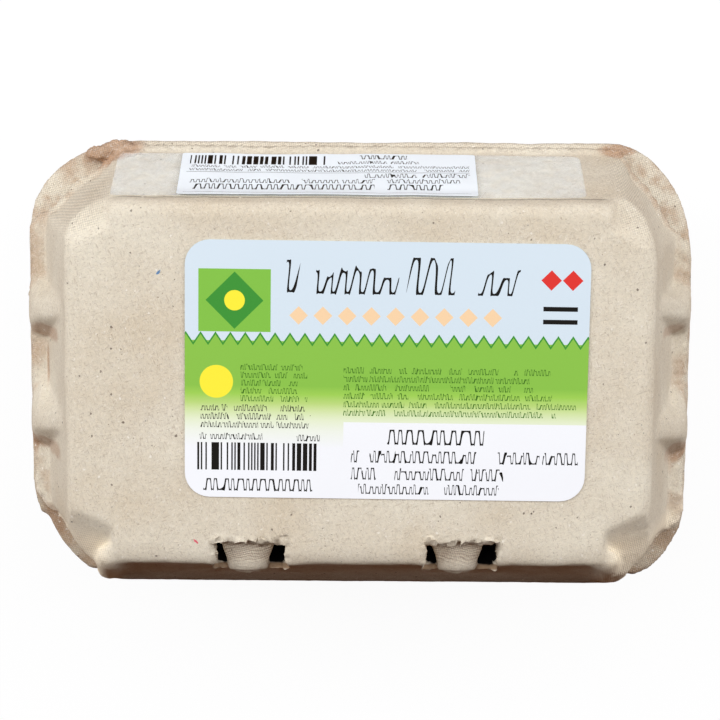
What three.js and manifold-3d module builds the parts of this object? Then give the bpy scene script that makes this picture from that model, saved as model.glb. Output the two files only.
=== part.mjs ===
// A closed six-egg carton of moulded paper pulp, with its label and the seal over its hinge.
// Millimetres, +Z up. +X runs along the carton, -Y is the front with the latches, +Y is the hinge side.
// The origin is the middle of the floor that the six feet stand on.
import * as THREE from 'three';
import { mergeVertices } from 'three/addons/utils/BufferGeometryUtils.js';
import Module from 'manifold-3d';

const wasm = await Module();
wasm.setup();

// Driving dimensions of the moulding
const LENGTH = 150;
const DEPTH = 101.6;
const HEIGHT = 66;
const BAND_BOTTOM = 28;
const RIM_HEIGHT = 38;
const FLANGE_THICKNESS = 3.2;
const LIP_BOTTOM = RIM_HEIGHT + 1;
const LIP_TOP = LIP_BOTTOM + 1.6;
const WALL_FOOT = LIP_TOP + 1;
const WALL_TOP = HEIGHT - 3.6;
const SEAM_DEPTH = 2.4;

// Half widths of the oval that rounds each corner of the rim
const FRONT_RIGHT_CORNER = { x: 17.6, y: 18 };
const BACK_RIGHT_CORNER = { x: 19.5, y: 26 };
const BACK_LEFT_CORNER = { x: 24, y: 20.5 };
const FRONT_LEFT_CORNER = { x: 20.5, y: 24 };

// How far the tray's flange droops on the outer corners, and the edge it is torn back to at the front left:
// a round edge in plan, and the places along X and Y where the tear starts
const DROOP = { front: 1.6, back: 1.4 };
const UNDERSIDE_DROOP = 0.4;
const TORN_EDGE = { x: -43.7, y: -25.4, radius: 30 };
const TORN_FROM = { x: -59.6, y: -35.6 };

// Levels of the flange's edge, and distances in from the rim outline down to the cups
const RIM_EDGE = RIM_HEIGHT - 0.6;
const FLANGE_BOTTOM = RIM_HEIGHT - FLANGE_THICKNESS;
const BAND_INSET = { bottom: 8, top: 4.8, underFlange: 3.8 };
const FLANGE_INSET = { bottom: 0.5, edge: 0, top: 0.7 };

// Along the front the lid comes down flush over the tray's flange, which stands back under it
const FRONT_STANDBACK = 1.9;

// Distance in from the rim outline to the foot and the head of each lid wall, and the run of its top edge
const END_WALL = { foot: 4.6, head: 11, edge: 2.8 };
const FRONT_WALL = { foot: 1.2, head: 9.4, edge: 6.6 };
const BACK_WALL = { foot: 1.6, head: 10.4, edge: 2.6 };
const LIP_INSET = 0.8;
const LIP_STEP = 1.4;
const CORNER_SETBACK = 4.4;
const PANEL_HALF = 54.6;
const PANEL_DEPTH = 1.5;

// Perimeter sampling
const ARC_STEPS = 12;
const LONG_STEPS = 30;
const SHORT_STEPS = 26;

// Egg cups of the tray, two rows of three
const CUP_PITCH_X = 47.5;
const CUP_PITCH_Y = 45.5;
const CUP_SIDES = 32;
const CUP_TOP = 34;
const CUP_FOOT_HALF = 16.4;
const CUP_TOP_HALF = 23.4;
const PILLAR_MOUTH = 6.2;
const PILLAR_TIP = 2.6;
const PILLAR_TOP = 46;

// Ribs on the short sides: the front edge of each crest along Y and the run of its slope behind
const RIBS = [
  { side: -1, crest: 11.8, rear: 6 },
  { side: -1, crest: -13.3, rear: 9 },
  { side: 1, crest: 13, rear: 5 },
  { side: 1, crest: -14.2, rear: 9 },
];
const RIB_CREST = 3.4;
const RIB_FRONT_RUN = 6.4;
const RIB_SKEW = 2.6;

// Flat facets of the lid's corners: a point of a front and a back one, their outward direction,
// and the start and the outward direction of the flank that ends them towards the middle
const FACET_FRONT = { x: 54.6, y: -31.6, z: 65.4 };
const FACET_BACK = { x: 52.5, y: 35.9, z: 65.4 };
const FACET_OUT = { x: 0.244, y: 0.502, z: 0.83 };
const FACET_START = 53.5;
const FACET_FLANK = { x: 0.96, z: 0.28 };

// Latches in the front edge: middle of each slot along X, slot and tab sizes
const LATCHES = [-23.7, 22.7];
const SLOT_WIDTH = 14.8;
const SLOT_BACK = -34.4;
const SLOT_SILL = -40.1;
const SLOT_SILL_HEIGHT = 58.4;
const SLOT_FLOOR = 44;
const TAB_SHIFT = -0.8;
const TAB_ROOT_HALF = 5.9;
const TAB_TIP_HALF = 3.3;
const TAB_LENGTH = 8.5;
const TAB_DROP = 3;
const TAB_THICKNESS = 2;

// Paper label on the top plate, clear tape and white sticker on the back wall
const SHEET = 0.25;
const SHEET_GAP = 0.1;
const LABEL = { width: 86.8, height: 56.3, radius: 5.4, x: 5.7, y: 3.8, turn: -0.006 };
const TAPE = { width: 102.4, height: 20.4, radius: 1.8, x: -2.8 };
const STICKER = { width: 64.8, height: 20.2, radius: 0.6, x: -7.3 };

const pulpLook = new THREE.MeshStandardMaterial({ color: '#dbd0bc', roughness: 0.95, metalness: 0 });
const labelLook = new THREE.MeshStandardMaterial({ color: '#8abe4d', roughness: 0.4, metalness: 0 });
const stickerLook = new THREE.MeshStandardMaterial({ color: '#eff3f6', roughness: 0.45, metalness: 0 });
const tapeLook = new THREE.MeshStandardMaterial({ color: '#dedbd1', roughness: 0.3, metalness: 0 });

const mix = THREE.MathUtils.lerp;
const ease = (value, from, to) => THREE.MathUtils.smoothstep(value, from, to);

// A closed skin over rings that all have as many points, with a fan over the first and the last ring
function loft(rings) {
  const count = rings[0].length;
  const points = rings.flat();
  const faces = [];
  for (let ring = 0; ring < rings.length - 1; ring += 1) {
    for (let i = 0; i < count; i += 1) {
      const next = (i + 1) % count;
      const a = ring * count + i;
      const b = ring * count + next;
      faces.push(a, b, b + count, a, b + count, a + count);
    }
  }
  const first = points.length;
  const last = first + 1;
  const top = (rings.length - 1) * count;
  points.push(centre(rings[0]), centre(rings[rings.length - 1]));
  for (let i = 0; i < count; i += 1) {
    const next = (i + 1) % count;
    faces.push(first, next, i, last, top + i, top + next);
  }
  const geometry = new THREE.BufferGeometry().setFromPoints(points);
  geometry.setIndex(faces);
  return geometry;
}

function centre(ring) {
  const sum = ring.reduce((total, point) => total.add(point), new THREE.Vector3());
  return sum.divideScalar(ring.length);
}

// Six times the volume that the triangles enclose, negative when they face inwards
function signedVolume(positions, faces) {
  const corner = (i) => new THREE.Vector3().fromArray(positions, faces[i] * 3);
  let total = 0;
  for (let i = 0; i < faces.length; i += 3) {
    total += corner(i).dot(corner(i + 1).cross(corner(i + 2)));
  }
  return total;
}

// A three.js geometry as a solid that can be joined and cut
function toSolid(geometry) {
  const bare = geometry.clone();
  bare.deleteAttribute('normal');
  bare.deleteAttribute('uv');
  const merged = mergeVertices(bare, 1e-4);
  const vertProperties = new Float32Array(merged.attributes.position.array);
  const triVerts = new Uint32Array(merged.index.array);
  if (signedVolume(vertProperties, triVerts) < 0) triVerts.reverse();
  return new wasm.Manifold(new wasm.Mesh({ numProp: 3, vertProperties, triVerts }));
}

function toGeometry(solid) {
  const mesh = solid.getMesh();
  const geometry = new THREE.BufferGeometry();
  geometry.setAttribute('position', new THREE.BufferAttribute(mesh.vertProperties, 3));
  geometry.setIndex(new THREE.BufferAttribute(mesh.triVerts, 1));
  return geometry;
}

function box(width, depth, height, x, y, z) {
  return toSolid(new THREE.BoxGeometry(width, depth, height).translate(x, y, z));
}

// The rim outline as points with their outward direction, counter-clockwise from the front right corner.
// bend is 1 in a rounded corner, and the wall values run smoothly from one side to the next.
function rimOutline() {
  const corners = [
    { x: 1, y: -1, oval: FRONT_RIGHT_CORNER, from: FRONT_WALL, to: END_WALL, steps: SHORT_STEPS },
    { x: 1, y: 1, oval: BACK_RIGHT_CORNER, from: END_WALL, to: BACK_WALL, steps: LONG_STEPS },
    { x: -1, y: 1, oval: BACK_LEFT_CORNER, from: BACK_WALL, to: END_WALL, steps: SHORT_STEPS },
    { x: -1, y: -1, oval: FRONT_LEFT_CORNER, from: END_WALL, to: FRONT_WALL, steps: LONG_STEPS },
  ];
  const arcs = corners.map((corner, quarter) => arcPoints(corner, quarter));
  const outline = [];
  arcs.forEach((arc, quarter) => {
    outline.push(...arc);
    const start = arc[arc.length - 1];
    const end = arcs[(quarter + 1) % arcs.length][0];
    const steps = corners[quarter].steps;
    for (let i = 1; i < steps; i += 1) {
      const place = start.place.clone().lerp(end.place, i / steps);
      outline.push({ place, out: start.out.clone(), bend: 0, wall: corners[quarter].to });
    }
  });
  return outline;
}

function arcPoints(corner, quarter) {
  const { oval } = corner;
  const middle = new THREE.Vector3(
    corner.x * (LENGTH / 2 - oval.x),
    corner.y * (DEPTH / 2 - oval.y),
    0,
  );
  const points = [];
  for (let i = 0; i <= ARC_STEPS; i += 1) {
    const part = i / ARC_STEPS;
    const angle = (quarter - 1 + part) * Math.PI / 2;
    const along = new THREE.Vector3(oval.x * Math.cos(angle), oval.y * Math.sin(angle), 0);
    const blend = ease(part, 0, 1);
    points.push({
      place: middle.clone().add(along),
      out: new THREE.Vector3(along.x / oval.x ** 2, along.y / oval.y ** 2, 0).normalize(),
      bend: ease(part, 0.04, 0.3) * ease(1 - part, 0.04, 0.3),
      wall: {
        foot: mix(corner.from.foot, corner.to.foot, blend),
        head: mix(corner.from.head, corner.to.head, blend),
        edge: mix(corner.from.edge, corner.to.edge, blend),
      },
    });
  }
  return points;
}

// How far the front panel between the latch ridges stands back, 0 elsewhere
function panelSetback(sample) {
  if (sample.out.y > -0.99) return 0;
  return PANEL_DEPTH * (1 - ease(Math.abs(sample.place.x), PANEL_HALF - 2.5, PANEL_HALF + 1));
}

// 1 along the front where the lid hangs over the flange, 0 from the corners on
function overhang(sample) {
  return ease(-sample.out.y, 0.9, 1);
}

// The body from the tray's upper band to the top plate, with the seam as a groove below the lid's lip
function shell() {
  const outline = rimOutline();
  const ring = (height, inset) => outline.map((sample) => {
    const place = sample.place.clone().addScaledVector(sample.out, -inset(sample));
    return place.setZ(height);
  });
  const flange = (inset) => (sample) => inset + FRONT_STANDBACK * overhang(sample);
  const lip = (sample) => LIP_INSET + CORNER_SETBACK * sample.bend;
  const foot = (sample) => {
    const stepped = Math.max(sample.wall.foot, lip(sample) + LIP_STEP);
    return mix(stepped, FRONT_WALL.foot, overhang(sample));
  };
  const wall = (part) => (sample) => {
    return mix(foot(sample), sample.wall.head, part) + panelSetback(sample) * ease(part, 0, 0.5);
  };
  const rings = [
    ring(BAND_BOTTOM, () => BAND_INSET.bottom),
    ring(FLANGE_BOTTOM - 1, () => BAND_INSET.top),
    ring(FLANGE_BOTTOM, () => BAND_INSET.underFlange),
    ring(FLANGE_BOTTOM, flange(FLANGE_INSET.bottom)),
    ring(RIM_EDGE, flange(FLANGE_INSET.edge)),
    ring(RIM_HEIGHT, flange(FLANGE_INSET.top)),
    ring(RIM_HEIGHT, (sample) => SEAM_DEPTH + CORNER_SETBACK * sample.bend),
    ring(LIP_BOTTOM, (sample) => SEAM_DEPTH + CORNER_SETBACK * sample.bend),
    ring(LIP_BOTTOM, (sample) => lip(sample) + 0.2),
    ring(LIP_TOP, lip),
    ring(LIP_TOP + 0.5, (sample) => mix(lip(sample), foot(sample), 0.4)),
    ring(WALL_FOOT, foot),
    ring(mix(WALL_FOOT, WALL_TOP, 0.08), wall(0.08)),
    ring(mix(WALL_FOOT, WALL_TOP, 0.36), wall(0.36)),
    ring(mix(WALL_FOOT, WALL_TOP, 0.68), wall(0.68)),
  ];
  // On the outer corners the tray's flange droops, so that its rim falls away below the lid's lip
  const [, , , underside, edge, rim] = rings;
  outline.forEach((sample, i) => {
    const fall = sample.bend * (sample.place.y < 0 ? DROOP.front : DROOP.back);
    underside[i].z -= fall * UNDERSIDE_DROOP;
    edge[i].z -= fall;
    rim[i].z -= fall;
  });
  const edgeSteps = 4;
  for (let step = 0; step <= edgeSteps; step += 1) {
    const angle = (step / edgeSteps) * Math.PI / 2;
    const fade = 1 - ease(step / edgeSteps, 0, 0.6);
    rings.push(ring(
      WALL_TOP + (HEIGHT - WALL_TOP) * Math.sin(angle),
      (sample) => sample.wall.head + sample.wall.edge * (1 - Math.cos(angle)) + panelSetback(sample) * fade,
    ));
  }
  return toSolid(loft(rings));
}

// One egg cup seen from outside: a foot with a rounded edge that widens up to the band
function cup(x, y) {
  const levels = [0, 0.9, 2.6, 8, 16, 25, CUP_TOP];
  const rings = levels.map((height) => {
    const rise = height / CUP_TOP;
    const edge = 1.5 * (1 - Math.sqrt(1 - (1 - Math.min(height / 2.6, 1)) ** 2));
    const half = mix(CUP_FOOT_HALF + 1.5, CUP_TOP_HALF, rise ** 0.85) - edge;
    const power = mix(2.5, 3.4, rise);
    return superellipse(x, y, half, height, power);
  });
  return toSolid(loft(rings));
}

function superellipse(x, y, half, height, power) {
  const points = [];
  for (let i = 0; i < CUP_SIDES; i += 1) {
    const angle = (i / CUP_SIDES) * Math.PI * 2;
    const c = Math.cos(angle);
    const s = Math.sin(angle);
    const reach = half / (Math.abs(c) ** power + Math.abs(s) ** power) ** (1 / power);
    points.push(new THREE.Vector3(x + c * reach, y + s * reach, height));
  }
  return points;
}

// The hollow of a pillar between four cups, open below
function pillarHollow(x) {
  const start = BAND_BOTTOM - 1;
  const cone = new THREE.CylinderGeometry(PILLAR_TIP, PILLAR_MOUTH, PILLAR_TOP - start, 20);
  return toSolid(cone.rotateX(Math.PI / 2).translate(x, 0, (PILLAR_TOP + start) / 2));
}

// A rib from the end wall out to the lip: a long slope behind its crest, a short steep one in front.
// Its inner end lies further back than its outer end.
function rib({ side, crest, rear }) {
  const outer = LENGTH / 2 - LIP_INSET;
  const bottom = LIP_BOTTOM + 0.4;
  const section = (inset, top, spread) => {
    const x = side * (outer - inset);
    const y = crest + RIB_SKEW * Math.min(inset / 9, 1);
    return [
      new THREE.Vector3(x, y - RIB_FRONT_RUN * spread, bottom),
      new THREE.Vector3(x, y + RIB_CREST + rear * spread, bottom),
      new THREE.Vector3(x, y + RIB_CREST, top - 0.4),
      new THREE.Vector3(x, y, top),
    ];
  };
  return toSolid(loft([
    section(17, HEIGHT - 4, 1),
    section(9, HEIGHT - 6.6, 1),
    section(2.2, RIM_HEIGHT + 11, 1),
    section(0.5, RIM_HEIGHT + 8, 0.9),
    section(-0.2, RIM_HEIGHT + 5, 0.8),
  ]));
}

// The ridge that ends the front panel on each side and comes down to the lip as a small lobe.
// A slice is a level ring, placed by its shift from the panel's end and its distance in from the front.
function frontRidge(side) {
  const sides = 8;
  const slice = (shift, inset, z, halfWidth, halfDepth) => {
    const x = side * (PANEL_HALF + shift);
    const y = inset - DEPTH / 2;
    const points = [];
    for (let i = 0; i < sides; i += 1) {
      const angle = (i / sides) * Math.PI * 2;
      points.push(new THREE.Vector3(x + halfWidth * Math.cos(angle), y + halfDepth * Math.sin(angle), z));
    }
    return points;
  };
  return toSolid(loft([
    slice(2.8, 2.9, LIP_BOTTOM + 0.3, 2, 1.8),
    slice(2.8, 2.9, LIP_BOTTOM + 1.4, 2.5, 2.1),
    slice(2.4, 4.5, LIP_BOTTOM + 6, 2.8, 2.4),
    slice(1, 8.6, WALL_TOP - 7, 3, 2.6),
    slice(0, 11.4, WALL_TOP, 3.2, 2.6),
    slice(-0.4, 13.2, HEIGHT - 1.2, 3, 2.2),
  ]));
}

// Half of space, as a large block that starts at a point and reaches out from it
function beyond(point, out) {
  const reach = LENGTH * 2;
  const turn = new THREE.Quaternion().setFromUnitVectors(new THREE.Vector3(0, 0, 1), out.normalize());
  const block = new THREE.BoxGeometry(reach, reach, reach).translate(0, 0, reach / 2).applyQuaternion(turn);
  return toSolid(block.translate(point.x, point.y, point.z));
}

// The wedge of air outside the flat facet that cuts each lid corner above the lip
function cornerCut(sideX, sideY) {
  const on = sideY < 0 ? FACET_FRONT : FACET_BACK;
  const point = new THREE.Vector3(sideX * on.x, on.y, on.z);
  const out = new THREE.Vector3(sideX * FACET_OUT.x, sideY * FACET_OUT.y, FACET_OUT.z);
  const aboveLip = beyond(new THREE.Vector3(0, 0, LIP_TOP + 1.2), new THREE.Vector3(0, 0, 1));
  const flank = new THREE.Vector3(sideX * FACET_FLANK.x, 0, FACET_FLANK.z);
  const outside = beyond(new THREE.Vector3(sideX * FACET_START, 0, HEIGHT), flank);
  return beyond(point, out).intersect(aboveLip).intersect(outside);
}

// What is torn off the flange on the tray's front left corner
function tornPiece() {
  const height = 12;
  const middle = LIP_BOTTOM - height / 2;
  const reach = 30;
  const corner = box(reach, reach, height, TORN_FROM.x - reach / 2, TORN_FROM.y - reach / 2, middle);
  const kept = new THREE.CylinderGeometry(TORN_EDGE.radius, TORN_EDGE.radius, height * 2, 72);
  return corner.subtract(toSolid(kept.rotateX(Math.PI / 2).translate(TORN_EDGE.x, TORN_EDGE.y, middle)));
}

// A latch slot: open above and in front down to its sill, with a deeper pocket behind the sill
function latchSlot(x) {
  const reach = 30;
  const depth = SLOT_BACK - SLOT_SILL;
  const open = box(SLOT_WIDTH, reach, reach, x, SLOT_BACK - reach / 2, SLOT_SILL_HEIGHT + reach / 2);
  const pocket = box(SLOT_WIDTH, depth, reach, x, SLOT_BACK - depth / 2, SLOT_FLOOR + reach / 2);
  return open.add(pocket);
}

// A tongue that leans out of its slot, over the sill and down in front of the wall, on its stem
function latchTab(x) {
  const tongue = new THREE.BoxGeometry(2, 1, 1, 6, 8, 1);
  const points = tongue.attributes.position;
  for (let i = 0; i < points.count; i += 1) {
    const across = points.getX(i);
    const along = points.getY(i) + 0.5;
    const upper = points.getZ(i) > 0;
    const tip = ease(along, 0.85, 1);
    const half = mix(TAB_ROOT_HALF, TAB_TIP_HALF, along) - 0.8 * tip;
    const crown = 0.9 * across ** 2;
    const surface = HEIGHT - 3.4 - 0.6 * along - TAB_DROP * along ** 2 - crown;
    const y = SLOT_BACK - 0.2 - TAB_LENGTH * along + (upper ? 0 : 0.7 * along + 0.6 * tip);
    points.setXYZ(i, x + half * across, y, upper ? surface : surface - TAB_THICKNESS);
  }
  const foot = SLOT_FLOOR - 0.5;
  const head = HEIGHT - 6;
  const stem = box(8, 2.2, head - foot, x, SLOT_SILL + 2, (head + foot) / 2);
  return toSolid(tongue).add(stem);
}

// A torn lump of pulp at the left end of the hinge
function hingeLump() {
  const lump = new THREE.SphereGeometry(1, 14, 8);
  lump.scale(5.6, 1.8, 2.2).rotateZ(0.12).translate(-56, DEPTH / 2 - 2.1, RIM_HEIGHT + 1.4);
  return toSolid(lump);
}

function carton() {
  let solid = shell().subtract(tornPiece());
  for (const sideX of [-1, 1]) {
    for (const sideY of [-1, 1]) {
      solid = solid.subtract(cornerCut(sideX, sideY));
    }
    solid = solid.add(frontRidge(sideX));
    solid = solid.subtract(pillarHollow(sideX * CUP_PITCH_X / 2));
  }
  for (const place of RIBS) {
    solid = solid.add(rib(place));
  }
  for (const column of [-1, 0, 1]) {
    for (const row of [-0.5, 0.5]) {
      solid = solid.add(cup(column * CUP_PITCH_X, row * CUP_PITCH_Y));
    }
  }
  for (const x of LATCHES) {
    solid = solid.subtract(latchSlot(x)).add(latchTab(x + TAB_SHIFT));
  }
  return toGeometry(solid.add(hingeLump()));
}

// A thin sheet with rounded corners, lying flat around its middle
function sheet(size) {
  const shape = new THREE.Shape();
  const right = size.width / 2;
  const top = size.height / 2;
  const inner = { x: right - size.radius, y: top - size.radius };
  shape.absarc(inner.x, -inner.y, size.radius, -Math.PI / 2, 0);
  shape.absarc(inner.x, inner.y, size.radius, 0, Math.PI / 2);
  shape.absarc(-inner.x, inner.y, size.radius, Math.PI / 2, Math.PI);
  shape.absarc(-inner.x, -inner.y, size.radius, Math.PI, Math.PI * 1.5);
  return new THREE.ExtrudeGeometry(shape, { depth: SHEET, bevelEnabled: false, curveSegments: 6 });
}

// Lays a sheet against the back wall, a given distance off it and around the wall's middle height
function onBackWall(geometry, x, off) {
  const foot = new THREE.Vector3(0, DEPTH / 2 - BACK_WALL.foot, WALL_FOOT);
  const head = new THREE.Vector3(0, DEPTH / 2 - BACK_WALL.head, WALL_TOP);
  const lean = Math.atan2(head.z - foot.z, foot.y - head.y);
  const mesh = new THREE.Mesh(geometry);
  const group = new THREE.Group();
  group.add(mesh);
  mesh.position.set(x, 0, off);
  group.rotation.x = -lean;
  group.position.copy(foot.lerp(head, 0.53));
  return { group, mesh };
}

const part = new THREE.Group();

const body = new THREE.Mesh(carton(), pulpLook);
body.name = 'carton';
part.add(body);

const label = new THREE.Mesh(sheet(LABEL), labelLook);
label.name = 'label';
label.position.set(LABEL.x, LABEL.y, HEIGHT + SHEET_GAP);
label.rotation.z = LABEL.turn;
part.add(label);

const tape = onBackWall(sheet(TAPE), TAPE.x, SHEET_GAP);
tape.mesh.name = 'seal_tape';
tape.mesh.material = tapeLook;
part.add(tape.group);

const sticker = onBackWall(sheet(STICKER), STICKER.x, SHEET_GAP * 2 + SHEET);
sticker.mesh.name = 'seal_label';
sticker.mesh.material = stickerLook;
part.add(sticker.group);

export default part;
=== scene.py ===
# A shut six-egg carton of moulded pulp with a printed label, a clear seal strip and a white sticker
import math

import bpy
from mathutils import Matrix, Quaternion, Vector


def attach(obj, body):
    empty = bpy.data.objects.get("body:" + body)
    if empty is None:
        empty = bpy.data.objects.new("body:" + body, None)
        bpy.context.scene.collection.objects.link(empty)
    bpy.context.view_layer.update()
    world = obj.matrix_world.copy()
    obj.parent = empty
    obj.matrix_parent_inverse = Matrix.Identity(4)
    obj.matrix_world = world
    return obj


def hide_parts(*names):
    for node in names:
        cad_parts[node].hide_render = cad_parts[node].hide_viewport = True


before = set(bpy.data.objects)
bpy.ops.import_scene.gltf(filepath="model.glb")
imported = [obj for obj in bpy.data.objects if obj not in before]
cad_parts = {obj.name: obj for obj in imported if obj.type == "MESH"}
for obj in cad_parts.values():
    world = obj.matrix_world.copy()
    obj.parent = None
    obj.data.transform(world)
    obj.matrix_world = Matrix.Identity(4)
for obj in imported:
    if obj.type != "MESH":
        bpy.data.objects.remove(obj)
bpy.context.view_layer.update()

mm = 0.001


def say(stage):
    print("carton:", stage)


def linear(hexCode, alpha=1.0):
    # sRGB hex to the linear colour that shader sockets take
    parts = [int(hexCode[i:i + 2], 16) / 255 for i in (1, 3, 5)]
    return tuple(c / 12.92 if c <= 0.04045 else ((c + 0.055) / 1.055) ** 2.4 for c in parts) + (alpha,)


def smoothStep(value, start, end):
    t = max(0.0, min(1.0, (value - start) / (end - start)))
    return t * t * (3 - 2 * t)


# Camera, floor and studio light

photoCamera = {
    "lens": 108.6,            # with a 36 mm sensor
    "distance": 0.496,        # to the rim of the carton
    "lean": 10.0,             # degrees from straight above, towards the hinge side
    "roll": 180.45,           # degrees: the hinge side is up in the picture
    "aim": (0.0, 0.0013, 0.038),
}
studio = {
    "keySize": (2.0, 1.1), "keyPlace": (-0.07, 0.66, 1.24), "keyPower": 18.2,
    "leftSize": (0.5, 0.4), "leftPlace": (-0.72, 0.24, 0.42), "leftPower": 4.9,
    "rightSize": (0.5, 0.4), "rightPlace": (0.72, 0.26, 0.42), "rightPower": 4.5,
    "lampColour": "#f7faff",
    "fillColour": "#ff9c50", "fillStrength": 0.068,
    "floorSize": 6.0, "floorWhite": 1.0, "floorShade": 0.06, "floorBounce": "#5e3818",
}


def makeCamera():
    data = bpy.data.cameras.new("photo_camera")
    camera = bpy.data.objects.new("photo_camera", data)
    bpy.context.scene.collection.objects.link(camera)
    lean = math.radians(photoCamera["lean"])
    back = Vector((0, math.sin(lean), math.cos(lean)))
    camera.location = Vector(photoCamera["aim"]) + back * photoCamera["distance"]
    turn = (-back).to_track_quat("-Z", "Y")
    roll = Quaternion((0, 0, 1), math.radians(photoCamera["roll"]))
    camera.rotation_mode = "QUATERNION"
    camera.rotation_quaternion = turn @ roll
    data.lens = photoCamera["lens"]
    data.sensor_width = 36
    data.clip_start = 0.01
    bpy.context.scene.camera = camera


def makeLamp(name, size, place, power):
    data = bpy.data.lights.new(name, "AREA")
    data.shape = "RECTANGLE"
    data.size, data.size_y = size
    data.energy = power
    data.color = linear(studio["lampColour"])[:3]
    lamp = bpy.data.objects.new(name, data)
    bpy.context.scene.collection.objects.link(lamp)
    lamp.location = place
    lamp.rotation_mode = "QUATERNION"
    lamp.rotation_quaternion = (Vector((0, 0, 0.04)) - Vector(place)).to_track_quat("-Z", "Y")


def addNode(tree, kind, settings=None):
    # A setting is an attribute of the node or, by number or name, the value or the link of an input
    node = tree.nodes.new(kind)
    for name, value in (settings or {}).items():
        if isinstance(value, bpy.types.NodeSocket):
            tree.links.new(value, node.inputs[name])
        elif isinstance(name, int) or name in node.inputs:
            node.inputs[name].default_value = value
        else:
            setattr(node, name, value)
    return node


def newMaterial(name):
    material = bpy.data.materials.new(name)
    material.use_nodes = True
    material.node_tree.nodes.clear()
    return material, material.node_tree


def makeStudio():
    world = bpy.data.worlds.new("studio_room")
    bpy.context.scene.world = world
    world.use_nodes = True
    backdrop = world.node_tree.nodes["Background"]
    backdrop.inputs["Color"].default_value = linear(studio["fillColour"])
    backdrop.inputs["Strength"].default_value = studio["fillStrength"]
    for lamp in ("key", "left", "right"):
        makeLamp(lamp + "_softbox", studio[lamp + "Size"], studio[lamp + "Place"], studio[lamp + "Power"])
    bpy.ops.mesh.primitive_grid_add(x_subdivisions=8, y_subdivisions=8, size=studio["floorSize"])
    floor = bpy.context.object
    floor.name = "studio_floor"
    # White seamless paper: white to the lens, with a soft shadow, and a weak warm bounce onto the carton
    material, tree = newMaterial("seamless_paper")
    path = addNode(tree, "ShaderNodeLightPath")
    glow = addNode(tree, "ShaderNodeEmission", {"Strength": studio["floorWhite"]})
    shade = addNode(tree, "ShaderNodeBsdfDiffuse", {"Color": linear("#ffffff")})
    seen = addNode(tree, "ShaderNodeMixShader", {
        0: studio["floorShade"], 1: glow.outputs[0], 2: shade.outputs[0]})
    bounce = addNode(tree, "ShaderNodeBsdfDiffuse", {"Color": linear(studio["floorBounce"])})
    both = addNode(tree, "ShaderNodeMixShader", {
        0: path.outputs["Is Camera Ray"], 1: bounce.outputs[0], 2: seen.outputs[0]})
    addNode(tree, "ShaderNodeOutputMaterial", {"Surface": both.outputs[0]})
    floor.data.materials.append(material)
    bpy.context.scene.view_settings.view_transform = "Standard"


# Mesh helpers

def selectOnly(piece):
    if bpy.context.object and bpy.context.object.mode != "OBJECT":
        bpy.ops.object.mode_set(mode="OBJECT")
    bpy.ops.object.select_all(action="DESELECT")
    piece.select_set(True)
    bpy.context.view_layer.objects.active = piece


def editAll(piece):
    selectOnly(piece)
    bpy.ops.object.mode_set(mode="EDIT")
    bpy.ops.mesh.select_all(action="SELECT")


def applied(piece, kind, **settings):
    selectOnly(piece)
    modifier = piece.modifiers.new(kind.title(), kind)
    for name, value in settings.items():
        setattr(modifier, name, value)
    bpy.ops.object.modifier_apply(modifier=modifier.name)


def roughen(piece, name, grain, depth, group, way="NORMAL"):
    texture = bpy.data.textures.new(name, "CLOUDS")
    texture.cloud_type = "COLOR" if way == "RGB_TO_XYZ" else "GRAYSCALE"
    texture.noise_scale = grain
    texture.noise_depth = 2
    applied(piece, "DISPLACE", texture=texture, texture_coords="LOCAL", direction=way, strength=depth,
            mid_level=0.5, vertex_group=group)


def weightGroup(piece, name, weightAt):
    # Weights in tenths, so that each level is added in one go
    group = piece.vertex_groups.new(name=name)
    levels = {}
    for vertex in piece.data.vertices:
        level = round(weightAt(vertex.co / mm) * 10)
        if level > 0:
            levels.setdefault(level, []).append(vertex.index)
    for level, members in levels.items():
        group.add(members, level / 10, "REPLACE")


def copyOfNode(nodeName, pieceName):
    piece = bpy.data.objects.new(pieceName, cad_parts[nodeName].data.copy())
    bpy.context.scene.collection.objects.link(piece)
    piece.data.materials.clear()
    editAll(piece)
    bpy.ops.mesh.remove_doubles(threshold=0.002 * mm)
    bpy.ops.object.mode_set(mode="OBJECT")
    return piece


def cutLevel(piece, height, keepAbove):
    editAll(piece)
    bpy.ops.mesh.bisect(plane_co=(0, 0, height), plane_no=(0, 0, 1), use_fill=True,
                        clear_inner=keepAbove, clear_outer=not keepAbove)
    bpy.ops.object.mode_set(mode="OBJECT")


def finishPiece(piece, material, slotName, *nodes):
    piece.data.materials.clear()
    piece.data.materials.append(material)
    selectOnly(piece)
    bpy.ops.object.shade_smooth_by_angle(angle=math.radians(60))
    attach(piece, "root")
    if nodes:
        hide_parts(*nodes)


# Moulded pulp: lid with its latch tabs, and tray

# Lengths in mm. Softening and rounding are rounds of smoothing, and a relief is its grain and depth.
pulpLid = {
    "seam": 38.5, "voxel": 0.5, "softening": 5, "rounding": 18, "frontRounding": 70, "swell": 0.22,
    "wave": (22, 0.6), "lump": (6.5, 0.34), "grain": (1.7, 0.16),
    "torn": (1.3, 1.1), "ragged": (2.4, 2.4), "ripped": (1.2, 2.3),
    "slots": ((-31.1, -16.3), (15.3, 30.1)), "slotBack": -34.4, "spread": 0.8, "deepen": 1.2,
}
pulpTray = {
    "voxel": 0.7, "softening": 4, "swell": 0.22, "wave": (20, 0.6), "lump": (6, 0.34), "grain": (2.2, 0.16),
}


def lidTornness(place):
    # 1 at the torn edge of the lip, less along the front, which is cleaner
    lip = 1 - smoothStep(place.z, 40.6, 42.0)
    return lip * (1 - 0.85 * smoothStep(-place.y, 47, 49.5))


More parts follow.
